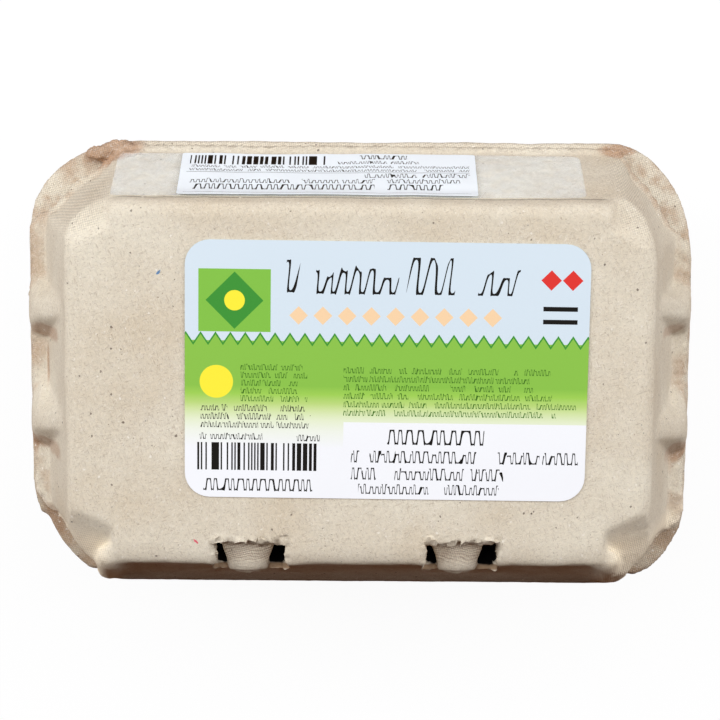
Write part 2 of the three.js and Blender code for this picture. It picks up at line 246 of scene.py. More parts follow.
def slotTornness(place):
    # 1 on the ripped rims of the latch slots
    slot = 0
    for left, right in pulpLid["slots"]:
        nearX = min(abs(place.x - left), abs(place.x - right))
        nearBack = abs(place.y - pulpLid["slotBack"])
        if left - 1.4 < place.x < right + 1.4 and -42.5 < place.y < -33.2:
            slot = max(slot, 1 - smoothStep(min(nearX, nearBack), 0.5, 1.6))
    return slot


def slotSide(place, side):
    # 1 on the left (-1) or right (1) wall of each slot, but not on the tongue next to it
    weight = 0
    for edges in pulpLid["slots"]:
        outwards = (place.x - edges[0 if side < 0 else 1]) * side
        near = 1 - (smoothStep(outwards, 0.8, 2.4) if outwards > 0 else smoothStep(-outwards, 0.2, 0.5))
        weight = max(weight, near * (1 - smoothStep(place.y, -34.8, -33.4)) * smoothStep(place.y, -43, -41.5))
    return weight * smoothStep(place.z, 50, 54)


def slotSill(place):
    # 1 on the inner edge of each slot's sill
    spread = pulpLid["spread"]
    inSlot = any(left - spread < place.x < right + spread for left, right in pulpLid["slots"])
    acrossSill = smoothStep(place.y, -42, -40.6) * (1 - smoothStep(place.y, -39.6, -39.2))
    return inSlot * acrossSill * smoothStep(place.z, 50, 54)


def lidFlatness(place):
    # Full relief on the walls, less on the plate that the label lies on and on the straight front edge
    return 1 - 0.72 * max(smoothStep(place.z, 64.6, 65.6), smoothStep(-place.y, 47, 49.5))


def lidRagged(place):
    # 1 at the ripped end of the hinge
    off = math.hypot((place.x + 56) / 9, (place.y - 49.5) / 4)
    return (1 - smoothStep(off, 0.6, 1.1)) * (1 - smoothStep(place.z, 43, 46))


def lidRounding(place):
    # The edges between plate, walls and corner facets are soft, the latches and the lip are not
    nearSlot = min(abs(place.x - (left + right) / 2) for left, right in pulpLid["slots"])
    away = max(smoothStep(nearSlot, 8.2, 11), smoothStep(place.y, -33, -31))
    return away * smoothStep(place.z, 43.5, 48)


def frontRounding(place):
    # The front edge of the plate runs down in a wide bow between the corners
    return lidRounding(place) * smoothStep(-place.y, 38, 41) * (1 - smoothStep(abs(place.x), 52, 58))


def makeLid(pulp):
    lid = copyOfNode("carton", "carton_lid")
    cutLevel(lid, pulpLid["seam"] * mm, True)
    applied(lid, "REMESH", mode="VOXEL", voxel_size=pulpLid["voxel"] * mm)
    applied(lid, "SMOOTH", factor=0.5, iterations=pulpLid["softening"])
    # The slots are wider and deeper at their torn edges than where they were punched
    for name, way, weightAt, reach in (
            ("slot_left", "X", lambda place: slotSide(place, -1), -pulpLid["spread"]),
            ("slot_right", "X", lambda place: slotSide(place, 1), pulpLid["spread"]),
            ("slot_sill", "Y", slotSill, -pulpLid["deepen"])):
        weightGroup(lid, name, weightAt)
        applied(lid, "DISPLACE", direction=way, strength=reach * mm, mid_level=0, vertex_group=name)
    weightGroup(lid, "ripped", slotTornness)
    weightGroup(lid, "rounded", lidRounding)
    applied(lid, "SMOOTH", factor=0.5, iterations=pulpLid["rounding"], vertex_group="rounded")
    weightGroup(lid, "front", frontRounding)
    applied(lid, "SMOOTH", factor=0.5, iterations=pulpLid["frontRounding"], vertex_group="front")
    # Smoothing draws the skin in, so it is swelled back
    applied(lid, "DISPLACE", strength=pulpLid["swell"] * mm, mid_level=0)
    weightGroup(lid, "relief", lidFlatness)
    weightGroup(lid, "torn", lidTornness)
    for name in ("wave", "lump", "grain"):
        grain, depth = pulpLid[name]
        roughen(lid, "lid_" + name, grain * mm, depth * mm, "relief")
    grain, depth = pulpLid["torn"]
    roughen(lid, "lid_torn", grain * mm, depth * mm, "torn")
    grain, depth = pulpLid["ripped"]
    roughen(lid, "lid_ripped", grain * mm, depth * mm, "ripped", "RGB_TO_XYZ")
    weightGroup(lid, "ragged", lidRagged)
    grain, depth = pulpLid["ragged"]
    roughen(lid, "lid_ragged", grain * mm, depth * mm, "ragged")
    finishPiece(lid, pulp, "pulp", "carton")
    return lid


def makeTray(pulp):
    tray = copyOfNode("carton", "carton_tray")
    cutLevel(tray, pulpLid["seam"] * mm, False)
    applied(tray, "REMESH", mode="VOXEL", voxel_size=pulpTray["voxel"] * mm)
    applied(tray, "SMOOTH", factor=0.5, iterations=pulpTray["softening"])
    weightGroup(tray, "aboveFeet", lambda place: smoothStep(place.z, 0.5, 4))
    applied(tray, "DISPLACE", strength=pulpTray["swell"] * mm, mid_level=0, vertex_group="aboveFeet")
    for name in ("wave", "lump", "grain"):
        grain, depth = pulpTray[name]
        roughen(tray, "tray_" + name, grain * mm, depth * mm, "aboveFeet")
    finishPiece(tray, pulp, "pulp", "carton")
    return tray


# Thin sheets stuck on the lid. Their own coordinates are kept as a UV map of 100 mm a side.

paperLabel = {
    "size": (86.8, 56.3), "radius": 5.4, "cell": 2.0, "place": (5.7, 3.8, 66.0), "turn": (0, 0, -0.006),
    "lift": 0.16, "thick": 0.12, "easing": 4,
}
sealTape = {
    "size": (102.4, 20.4), "radius": 1.8, "cell": 1.4, "place": (-2.8, 44.54, 52.62), "turn": (-1.17, 0, 0),
    "lift": 0.12, "thick": 0.08, "easing": 2, "freeEdge": 0.2,
}
sealSticker = {
    "size": (64.8, 20.2), "radius": 0.6, "cell": 1.4, "place": (-7.3, 44.54, 52.62), "turn": (-1.17, 0, 0),
    "lift": 0.3, "thick": 0.12, "easing": 4, "freeEdge": 0.4,
}


def makeSheet(name, sheet, target):
    # A flat sheet with round corners, cut into cells and laid on the pulp
    width, height = sheet["size"]
    bpy.ops.mesh.primitive_plane_add(size=1)
    piece = bpy.context.object
    piece.name = piece.data.name = name
    editAll(piece)
    bpy.ops.transform.resize(value=(width * mm, height * mm, 1), center_override=(0, 0, 0))
    bpy.ops.mesh.bevel(offset=sheet["radius"] * mm, segments=7, affect="VERTICES")
    for axis, length in ((0, width), (1, height)):
        count = round(length / sheet["cell"])
        for step in range(1, count):
            across = Vector((0, 0, 0))
            across[axis] = 1
            bpy.ops.mesh.select_all(action="SELECT")
            bpy.ops.mesh.bisect(plane_co=across * (step / count - 0.5) * length * mm, plane_no=across)
    bpy.ops.object.mode_set(mode="OBJECT")
    flat = piece.data.uv_layers[0].data
    for loop in piece.data.loops:
        place = piece.data.vertices[loop.vertex_index].co
        flat[loop.index].uv = (place.x * 10 + 0.5, place.y * 10 + 0.5)
    # It follows the pulp along its own upright axis only, so that its outline stays true
    piece.location = Vector(sheet["place"]) * mm
    piece.rotation_euler = sheet["turn"]
    bpy.context.view_layer.update()
    applied(piece, "SHRINKWRAP", target=target, wrap_method="PROJECT", wrap_mode="ABOVE_SURFACE",
            use_project_z=True, use_positive_direction=True, use_negative_direction=True,
            project_limit=3 * mm, offset=sheet["lift"] * mm)
    applied(piece, "SMOOTH", factor=0.5, iterations=sheet["easing"], use_x=False, use_y=False)
    selectOnly(piece)
    bpy.ops.object.transform_apply(location=True, rotation=True, scale=True)
    return piece


def thicken(piece, sheet):
    applied(piece, "SOLIDIFY", thickness=sheet["thick"] * mm, offset=1)


def liftEdge(piece, sheet):
    # The upper edge stands a little off the pulp
    weightGroup(piece, "free_edge", lambda place: smoothStep(place.z, 59.8, 61.9))
    applied(piece, "DISPLACE", strength=sheet["freeEdge"] * mm, mid_level=0, vertex_group="free_edge")


# Recycled pulp board: grey-beige felted paper fibre, dead matt, with ink specks, browner where it was torn or
# rubbed, with painted shade in recesses, on shaded faces, at the foot of walls and in the latch slots,
# painted light on the front corner facets, the lip's crest and the tongues, and with the forming wire's print
# on the corners. The wire's mesh is drawn half as coarse again.
pulpFinish = {
    "light": "#e1d9c5", "base": "#dad0bb", "warm": "#d4c7af", "rubbedAndShade": "#c3ad94", "facet": "#f8eacf",
    "torn": "#a97d5b", "band": "#a58a68", "lipHighlight": "#f0e4cf", "foot": "#5a4330", "holeShadow": "#0d0704",
    "cutEdgeAndShade": "#8f6c49", "fleckDark": "#57473a", "fleckBrown": "#8a6f55", "fleckPale": "#f1ebdf",
    "fibreBlue": "#5f86ad", "fibrePink": "#dd5f6e",
    "wirePitch": 0.66, "wireTurn": 0.5, "layerPitch": 0.62, "relief": 0.22,
}
# How strongly each tone lies over the pulp
pulpAmount = {
    "band": 0.25, "lipHighlight": 0.8, "foot": 0.45, "groove": 0.6, "darkFibre": 0.36, "paleFibre": 0.40,
    "layers": 0.5, "cutEdgeAndShade": 0.8, "facet": 0.75,
}
# Each speck's cell in mm, the share of cells left empty, its size in cells, its colour and its strength
pulpSpecks = (
    (2.3, 0.35, 0.13, "fleckDark", 0.75), (1.0, 0.45, 0.16, "fleckBrown", 0.55),
    (1.6, 0.45, 0.17, "fleckPale", 0.7), (5.5, 0.5, 0.05, "fleckDark", 0.9),
)
# Each grid of fibres: its turn, how long the fibres are drawn out and how far the grid is shifted
pulpFibres = ((0.3, 2.6, 0), (1.9, 3.0, 4), (2.5, 2.6, 9), (1.1, 3.0, 15))
dyedFibres = (
    ("fibreBlue", (-43.0, 25.2, 66)), ("fibreBlue", (37.0, 31.2, 66)), ("fibrePink", (-35.3, -34.0, 66)),
)
# Each torn brown place or place of painted shade: its middle and reach in mm, and its strength
pulpTearsAndShade = (
    ((-56.5, 49.5, 40), (9.5, 5.0, 8), 0.7), ((57.5, 49.6, 40), (5.5, 1.6, 8), 0.7),
    ((-70.5, -36.5, 40), (3.0, 5.5, 8), 0.7), ((-74.4, -18.0, 41), (1.6, 4.0, 8), 0.5),
    ((-69.6, 9.0, 46), (6.0, 2.3, 12), 0.5), ((-69.4, -17.2, 46), (6.0, 2.6, 12), 0.45),
    ((69.2, 10.4, 46), (4.5, 1.8, 12), 0.4), ((72.2, -18.2, 45), (3.4, 3.4, 12), 0.5),
    ((-70.5, 0.6, 42), (0.5, 5.0, 8), 0.6),
)
# Bounds of the toned places in mm: each comes in between its two values along its axis
pulpZones = {
    "brim": ("z", 43.5, 40.5), "beforeHinge": ("y", 50, 46),
    "frontEnd": ("y", -24, -30), "nearEnds": ("sideways", 50, 55), "trayBand": ("z", 39.0, 38.6),
    "overTray": ("z", 39.2, 39.7), "underWall": ("z", 41.4, 40.6),
    "frontWall": ("y", -44, -47), "betweenCorners": ("sideways", 60, 54), "towardsFoot": ("z", 54, 41),
    "grooveFront": ("y", 37.5, 38.5), "grooveLength": ("sideways", 53.5, 51.5),
    "grooveFoot": ("z", 61.85, 62.05), "grooveHead": ("z", 62.6, 62.3),
    "pastSlotBack": ("y", -34.0, -34.6), "tongueLength": ("y", -41.5, -38.5), "belowPlate": ("z", 63.6, 63.0),
    "sillOuter": ("y", -42.4, -42.0), "sillInner": ("y", -40.9, -41.2), "sillTop": ("z", 59.6, 59.2),
    "holeFront": ("y", -41.7, -41.3), "holeTop": ("z", 58.2, 57.4),
    "cornerX": ("sideways", 52, 58), "cornerY": ("lengthways", 30, 36), "cornerTop": ("z", 65.6, 64.6),
    "printedBand": ("z", 41.5, 40.5), "frontFacet": ("y", -27, -31), "overBand": ("z", 39.5, 41),
}


def rampMask(tree, value, start, end):
    # 0 to 1 from start to end
    return addNode(tree, "ShaderNodeMapRange", {
        "interpolation_type": "SMOOTHSTEP", 0: value, 1: start, 2: end, 3: 0.0, 4: 1.0}).outputs[0]


def product(tree, masks):
    # All the masks at once
    result = masks[0]
    for mask in masks[1:]:
        result = addNode(tree, "ShaderNodeMath", {"operation": "MULTIPLY", 0: result, 1: mask}).outputs[0]
    return result


def tinted(tree, tone, amount, hexCode):
    # The tone, mixed by an amount with a colour
    return addNode(tree, "ShaderNodeMix", {
        "data_type": "RGBA", 0: amount, 6: tone, 7: linear(hexCode)}).outputs[2]


def zoneMask(tree, axes, *names):
    # 1 where all the named zones are
    zones = [pulpZones[name] for name in names]
    return product(tree, [rampMask(tree, axes[axis], start, end) for axis, start, end in zones])


def slotsMask(tree, x):
    # 1 across the width of both latch slots
    masks = []
    for left, right in pulpLid["slots"]:
        reach = (right - left) / 2 + pulpLid["spread"] + 0.3
        masks.append(addNode(tree, "ShaderNodeMath", {
            "operation": "COMPARE", 0: x, 1: (left + right) / 2, 2: reach}).outputs[0])
    return addNode(tree, "ShaderNodeMath", {"operation": "ADD", 0: masks[0], 1: masks[1]}).outputs[0]


def scaled(tree, tone, factor):
    # The tone, lighter or darker by a factor
    return addNode(tree, "ShaderNodeVectorMath", {"operation": "SCALE", 0: tone, "Scale": factor}).outputs[0]


def pulpMaterial():
    material, tree = newMaterial("moulded_pulp")
    place = addNode(tree, "ShaderNodeTexCoord").outputs["Object"]
    inMm = scaled(tree, place, 1 / mm)
    x, y, z = addNode(tree, "ShaderNodeSeparateXYZ", {0: inMm}).outputs
    sideways = addNode(tree, "ShaderNodeMath", {"operation": "ABSOLUTE", 0: x}).outputs[0]
    lengthways = addNode(tree, "ShaderNodeMath", {"operation": "ABSOLUTE", 0: y}).outputs[0]
    axes = {"y": y, "z": z, "sideways": sideways, "lengthways": lengthways}
    # Slow change of tone over centimetres
    slow = addNode(tree, "ShaderNodeTexNoise", {"Scale": 0.05, "Detail": 3.0, "Vector": inMm}).outputs["Fac"]
    toned = addNode(tree, "ShaderNodeValToRGB", {0: slow})
    ramp = toned.color_ramp
    ramp.elements[0].position, ramp.elements[0].color = 0.3, linear(pulpFinish["warm"])
    ramp.elements[1].position, ramp.elements[1].color = 0.7, linear(pulpFinish["light"])
    ramp.elements.new(0.5).color = linear(pulpFinish["base"])
    tone = toned.outputs[0]
    # Browner in patches on the tray's rim and the lid's lip, but not at the hinge: partly brown pulp, partly
    # painted shade at the foot of the walls
    patch = addNode(tree, "ShaderNodeTexNoise", {"Scale": 0.16, "Detail": 4.0, "Vector": inMm}).outputs["Fac"]
    rubbedAndShade = product(tree, [zoneMask(tree, axes, "brim", "beforeHinge"), rampMask(tree, patch, 0.42, 0.62)])
    tone = tinted(tree, tone, rubbedAndShade, pulpFinish["rubbedAndShade"])
    # Brown patches, partly torn pulp and partly painted shade: where the hinge's ends ripped, with the dark
    # recesses beside them, on the ribs' shaded fronts and in a thin tear between the left ribs
    for centre, reach, strength in pulpTearsAndShade:
        local = addNode(tree, "ShaderNodeMapping", {
            "vector_type": "TEXTURE", "Vector": inMm, "Location": centre, "Scale": reach}).outputs[0]
        off = addNode(tree, "ShaderNodeVectorMath", {"operation": "LENGTH", 0: local}).outputs["Value"]
        off = addNode(tree, "ShaderNodeMath", {"operation": "SUBTRACT", 0: off, 1: patch}).outputs[0]
        torn = product(tree, [rampMask(tree, off, 0.6, 0.1), strength])
        tone = tinted(tree, tone, torn, pulpFinish["torn"])
    # At the front corners: painted shade, warm brown, on the tray's band under the lid's lip, and a painted
    # highlight along the lid's torn edge over it
    frontCorner = zoneMask(tree, axes, "frontEnd", "nearEnds")
    band = product(tree, [frontCorner, zoneMask(tree, axes, "trayBand"), pulpAmount["band"]])
    tone = tinted(tree, tone, band, pulpFinish["band"])
    tornLip = zoneMask(tree, axes, "overTray", "underWall")
    pale = product(tree, [frontCorner, tornLip, pulpAmount["lipHighlight"]])
    tone = tinted(tree, tone, pale, pulpFinish["lipHighlight"])
    # Painted shade: the front wall darkens towards its foot
    nearFoot = zoneMask(tree, axes, "frontWall", "betweenCorners", "towardsFoot")
    foot = product(tree, [nearFoot, pulpAmount["foot"]])
    tone = tinted(tree, tone, foot, pulpFinish["foot"])
    # The shadow line in the groove along the upper edge of the strip and the sticker
    groove = zoneMask(tree, axes, "grooveFront", "grooveLength", "grooveFoot", "grooveHead")
    tone = tinted(tree, tone, product(tree, [groove, pulpAmount["groove"]]), pulpFinish["fleckDark"])
    # Felted mottling under a millimetre, and the grain of single fibres
    mottle = addNode(tree, "ShaderNodeTexNoise", {
        "Scale": 1.5, "Detail": 5.0, "Roughness": 0.75, "Vector": inMm}).outputs["Fac"]
    lighten = addNode(tree, "ShaderNodeMapRange", {0: mottle, 1: 0.3, 2: 0.7, 3: 0.88, 4: 1.1}).outputs[0]
    tone = scaled(tree, tone, lighten)
    # Short fibres lying every way, as stretched cells in four turned grids, dark ones and pale ones
    fibres = []
    for turn, stretch, shift in pulpFibres:
        turned = addNode(tree, "ShaderNodeMapping", {
            "vector_type": "TEXTURE", "Vector": inMm, "Rotation": (0.2, 0.1, turn),
            "Scale": (stretch, 0.5, 0.7), "Location": (shift, 0, 0)})
        strands = addNode(tree, "ShaderNodeTexNoise", {
            "Scale": 2.3, "Detail": 2.0, "Distortion": 0.4, "Vector": turned.outputs[0]})
        fibres.append(rampMask(tree, strands.outputs["Fac"], 0.58, 0.70))
    darkFibre = addNode(tree, "ShaderNodeMath", {
        "operation": "MAXIMUM", 0: fibres[0], 1: fibres[1]}).outputs[0]
    paleFibre = addNode(tree, "ShaderNodeMath", {
        "operation": "MAXIMUM", 0: fibres[2], 1: fibres[3]}).outputs[0]
    darkShare = product(tree, [darkFibre, pulpAmount["darkFibre"]])
    tone = tinted(tree, tone, darkShare, pulpFinish["fleckBrown"])
    paleShare = product(tree, [paleFibre, pulpAmount["paleFibre"]])
    tone = tinted(tree, tone, paleShare, pulpFinish["fleckPale"])
    # Specks of ink, bark and pale filler: one in some cells, each with a size of its own
    ragged = addNode(tree, "ShaderNodeTexNoise", {
        "Scale": 2.2, "Detail": 2.0, "Vector": inMm}).outputs["Color"]
    bent = addNode(tree, "ShaderNodeVectorMath", {
        "operation": "MULTIPLY_ADD", 0: ragged, 1: (0.5, 0.5, 0.5), 2: inMm}).outputs[0]
    for pitch, share, size, colour, strength in pulpSpecks:
        moved = addNode(tree, "ShaderNodeMapping", {
            "Vector": bent, "Location": (pitch * 3.1, 7.7, share * 9)})
        cells = addNode(tree, "ShaderNodeTexVoronoi", {"Scale": 1 / pitch, "Vector": moved.outputs[0]})
        lot = addNode(tree, "ShaderNodeSeparateColor", {0: cells.outputs["Color"]}).outputs[0]
        reach = addNode(tree, "ShaderNodeMapRange", {0: lot, 1: share, 2: 1.0, 3: 0.0, 4: size}).outputs[0]
        near = addNode(tree, "ShaderNodeMath", {
            "operation": "LESS_THAN", 0: cells.outputs["Distance"], 1: reach}).outputs[0]
        tone = tinted(tree, tone, product(tree, [near, strength]), pulpFinish[colour])
    # The few dyed fibres
    for colour, spot in dyedFibres:
        local = addNode(tree, "ShaderNodeMapping", {
            "vector_type": "TEXTURE", "Vector": bent, "Location": spot, "Rotation": (0, 0, spot[0]),
            "Scale": (0.75, 0.28, 4)}).outputs[0]
        off = addNode(tree, "ShaderNodeVectorMath", {"operation": "LENGTH", 0: local}).outputs["Value"]
        tone = tinted(tree, tone, rampMask(tree, off, 1.0, 0.7), pulpFinish[colour])
    # Latches: the layers of pulp as wavy lines on each tongue, a brown cut edge on the sill, partly painted
    # shade, painted shadow inside the slots and painted light on the tongues
    inSlots = slotsMask(tree, x)
    onTongue = product(tree, [inSlots, zoneMask(tree, axes, "pastSlotBack", "tongueLength", "belowPlate")])
    layer = addNode(tree, "ShaderNodeMath", {"operation": "MULTIPLY_ADD", 0: slow, 1: 14.0, 2: y}).outputs[0]
    layer = addNode(tree, "ShaderNodeMath", {
        "operation": "MULTIPLY_ADD", 0: mottle, 1: 0.5, 2: layer}).outputs[0]
    layer = addNode(tree, "ShaderNodeMath", {
        "operation": "MULTIPLY", 0: layer, 1: 2 * math.pi / pulpFinish["layerPitch"]}).outputs[0]
    layer = addNode(tree, "ShaderNodeMath", {"operation": "SINE", 0: layer}).outputs[0]
    lines = product(tree, [onTongue, rampMask(tree, layer, 0.1, 0.9), pulpAmount["layers"]])
    tone = tinted(tree, tone, lines, pulpFinish["fleckBrown"])
    # The sill's cut edge: brown pulp, darkened partly as painted shade
    onSill = zoneMask(tree, axes, "sillOuter", "sillInner", "sillTop")
    cutEdgeAndShade = product(tree, [inSlots, onSill, pulpAmount["cutEdgeAndShade"]])
    tone = tinted(tree, tone, cutEdgeAndShade, pulpFinish["cutEdgeAndShade"])
    # Painted shadow: near black inside each slot, over the back of its sill
    inHoleShadow = product(tree, [inSlots, zoneMask(tree, axes, "pastSlotBack", "holeFront", "holeTop")])
    tone = tinted(tree, tone, inHoleShadow, pulpFinish["holeShadow"])
    # Painted light: the tongues are drawn a quarter lighter
    tongueLight = addNode(tree, "ShaderNodeMath", {
        "operation": "MULTIPLY_ADD", 0: onTongue, 1: 0.25, 2: 1.0}).outputs[0]
    tone = scaled(tree, tone, tongueLight)
    # The print of the wire mesh that the pulp was drawn onto, on the corners, the outer band and the tongues
    corner = zoneMask(tree, axes, "cornerX", "cornerY", "cornerTop")
    printed = corner
    for place in (zoneMask(tree, axes, "printedBand"), onTongue):
        printed = addNode(tree, "ShaderNodeMath", {"operation": "MAXIMUM", 0: printed, 1: place}).outputs[0]
    turned = addNode(tree, "ShaderNodeMapping", {"Vector": inMm, "Rotation": (0, 0, pulpFinish["wireTurn"])})
    wires = addNode(tree, "ShaderNodeSeparateXYZ", {0: turned.outputs[0]})
    waves = []
    for way in (0, 1):
        angle = addNode(tree, "ShaderNodeMath", {
            "operation": "MULTIPLY", 0: wires.outputs[way], 1: 2 * math.pi / pulpFinish["wirePitch"]})
        waves.append(addNode(tree, "ShaderNodeMath", {"operation": "SINE", 0: angle.outputs[0]}).outputs[0])
    mesh = product(tree, waves + [printed])
    # Painted light: the front corner facets are drawn paler and warmer
    onFacet = zoneMask(tree, axes, "frontFacet", "overBand")
    paintedFacetLight = product(tree, [corner, onFacet, pulpAmount["facet"]])
    tone = tinted(tree, tone, paintedFacetLight, pulpFinish["facet"])
    dents = addNode(tree, "ShaderNodeMapRange", {0: mesh, 1: -0.8, 2: 0.8, 3: 0.82, 4: 1.12}).outputs[0]
    tone = scaled(tree, tone, dents)
    # Relief: felted grain, the wires' print and the pale fibres
    height = addNode(tree, "ShaderNodeTexNoise", {
        "Scale": 2.6, "Detail": 5.0, "Roughness": 0.7, "Vector": inMm}).outputs["Fac"]
    for part, share in ((mesh, 0.35), (paleFibre, 0.45)):
        height = addNode(tree, "ShaderNodeMath", {
            "operation": "MULTIPLY_ADD", 0: part, 1: share, 2: height}).outputs[0]
    bump = addNode(tree, "ShaderNodeBump", {
        "Strength": 0.55, "Distance": pulpFinish["relief"] * mm, "Height": height})
    shader = addNode(tree, "ShaderNodeBsdfPrincipled", {
        "Roughness": 0.92, "Specular IOR Level": 0.2, "Base Color": tone, "Normal": bump.outputs[0]})
    addNode(tree, "ShaderNodeOutputMaterial", {"Surface": shader.outputs[0]})
    return material


# Printed satin paper: a four-colour label in sky blue and green, bare white below. Every mask is drawn in
# millimetres from the middle of the sheet, and the lines of print are only dark marks in rows.

labelInk = {
    "paper": "#eef0f2", "sky": "#cfdde5", "green": "#87bd48", "deepGreen": "#3c8f34",
    "ink": "#15130f", "greyInk": "#2c2a28", "greenInk": "#3f6f1e", "tan": "#efcda2", "yellow": "#f3e63a",
    "red": "#d8352f", "square": "#7fbb45", "sticker": "#f3fbff",
}
# Sheet heights in mm where the green fades into the white
labelFade = ((-17.0, "#eef0f2"), (-13.2, "#e8eddf"), (-10.8, "#dfe8c6"), (-8.6, "#cbdd9c"), (-7.2, "#b6d378"),
             (-5.2, "#9aca52"), (-3.4, "#87bd48"))


def boxMask(tree, u, v, left, right, low, high):
    # 1 inside a rectangle
    across = addNode(tree, "ShaderNodeMath", {
        "operation": "COMPARE", 0: u, 1: (left + right) / 2, 2: (right - left) / 2})
    along = addNode(tree, "ShaderNodeMath", {
        "operation": "COMPARE", 0: v, 1: (low + high) / 2, 2: (high - low) / 2})
    return product(tree, [across.outputs[0], along.outputs[0]])


def discMask(tree, u, v, x, y, radius):
    # 1 inside a disc
    place = addNode(tree, "ShaderNodeCombineXYZ", {0: u, 1: v}).outputs[0]
    off = addNode(tree, "ShaderNodeVectorMath", {
        "operation": "DISTANCE", 0: place, 1: (x, y, 0)}).outputs["Value"]
    return addNode(tree, "ShaderNodeMath", {"operation": "LESS_THAN", 0: off, 1: radius}).outputs[0]


def diamondMask(tree, u, v, x, y, reach):
    # 1 inside a square that stands on its corner
    across = addNode(tree, "ShaderNodeMath", {"operation": "SUBTRACT", 0: u, 1: x}).outputs[0]
    across = addNode(tree, "ShaderNodeMath", {"operation": "ABSOLUTE", 0: across}).outputs[0]
    along = addNode(tree, "ShaderNodeMath", {"operation": "SUBTRACT", 0: v, 1: y}).outputs[0]
    along = addNode(tree, "ShaderNodeMath", {"operation": "ABSOLUTE", 0: along}).outputs[0]
    off = addNode(tree, "ShaderNodeMath", {"operation": "ADD", 0: across, 1: along}).outputs[0]
    return addNode(tree, "ShaderNodeMath", {"operation": "LESS_THAN", 0: off, 1: reach}).outputs[0]


def stripeMask(tree, u, v, area, module, seed):
    # Upright bars of chance widths, each a whole number of modules
    cell = addNode(tree, "ShaderNodeMath", {"operation": "DIVIDE", 0: u, 1: module}).outputs[0]
    cell = addNode(tree, "ShaderNodeMath", {"operation": "FLOOR", 0: cell}).outputs[0]
    cell = addNode(tree, "ShaderNodeMath", {"operation": "ADD", 0: cell, 1: seed}).outputs[0]
    lot = addNode(tree, "ShaderNodeTexWhiteNoise", {"noise_dimensions": "1D", "W": cell}).outputs["Value"]
    bar = addNode(tree, "ShaderNodeMath", {"operation": "GREATER_THAN", 0: lot, 1: 0.46}).outputs[0]
    return product(tree, [bar, boxMask(tree, u, v, *area)])


def penLine(tree, along, rise, period, tall, width):
    # 1 on a pen line that runs up and down in round bows from 0 to its height
    steep, half = 1.7, 0.53
    angle = addNode(tree, "ShaderNodeMath", {
        "operation": "MULTIPLY", 0: along, 1: 2 * math.pi / period}).outputs[0]
    swing = addNode(tree, "ShaderNodeMath", {"operation": "SINE", 0: angle}).outputs[0]
    bow = addNode(tree, "ShaderNodeMath", {"operation": "MULTIPLY", 0: swing, 1: steep}).outputs[0]
    bow = addNode(tree, "ShaderNodeMath", {"operation": "TANH", 0: bow}).outputs[0]
    height = addNode(tree, "ShaderNodeMath", {
        "operation": "MULTIPLY_ADD", 0: bow, 1: half, 2: 0.5}).outputs[0]
    height = product(tree, [height, tall])
    # The steeper the line runs, the more of the height it takes up
    turn = addNode(tree, "ShaderNodeMath", {"operation": "COSINE", 0: angle}).outputs[0]
    flat = addNode(tree, "ShaderNodeMath", {"operation": "MULTIPLY", 0: bow, 1: bow}).outputs[0]
    flat = addNode(tree, "ShaderNodeMath", {"operation": "SUBTRACT", 0: 1.0, 1: flat}).outputs[0]
    slope = product(tree, [turn, flat, tall, half * steep * 2 * math.pi / period])
    run = addNode(tree, "ShaderNodeMath", {
        "operation": "MULTIPLY_ADD", 0: slope, 1: slope, 2: 1.0}).outputs[0]
    run = addNode(tree, "ShaderNodeMath", {"operation": "SQRT", 0: run}).outputs[0]
    room = addNode(tree, "ShaderNodeMath", {"operation": "MULTIPLY", 0: run, 1: width / 2}).outputs[0]
    return addNode(tree, "ShaderNodeMath", {"operation": "COMPARE", 0: rise, 1: height, 2: room}).outputs[0]


def scribbleMask(tree, u, v, area, period, tall, width, slant=0.16):
    # A slanting written wave of uneven height, with no letters in it, on a base line
    left, right, base = area
    lean = addNode(tree, "ShaderNodeMath", {"operation": "MULTIPLY_ADD", 0: v, 1: -slant, 2: u}).outputs[0]
    uneven = addNode(tree, "ShaderNodeTexNoise", {
        "noise_dimensions": "1D", "Scale": 0.5 / period, "Detail": 1.0, "W": lean}).outputs["Fac"]
    reach = addNode(tree, "ShaderNodeMapRange", {
        0: uneven, 1: 0.42, 2: 0.6, 3: 0.5 * tall, 4: tall}).outputs[0]
    along = addNode(tree, "ShaderNodeMath", {
        "operation": "MULTIPLY_ADD", 0: uneven, 1: period, 2: lean}).outputs[0]
    rise = addNode(tree, "ShaderNodeMath", {"operation": "SUBTRACT", 0: v, 1: base}).outputs[0]
    line = penLine(tree, along, rise, period, reach, width)
    window = addNode(tree, "ShaderNodeMath", {
        "operation": "COMPARE", 0: lean, 1: (left + right) / 2, 2: (right - left) / 2}).outputs[0]
    return product(tree, [line, window])


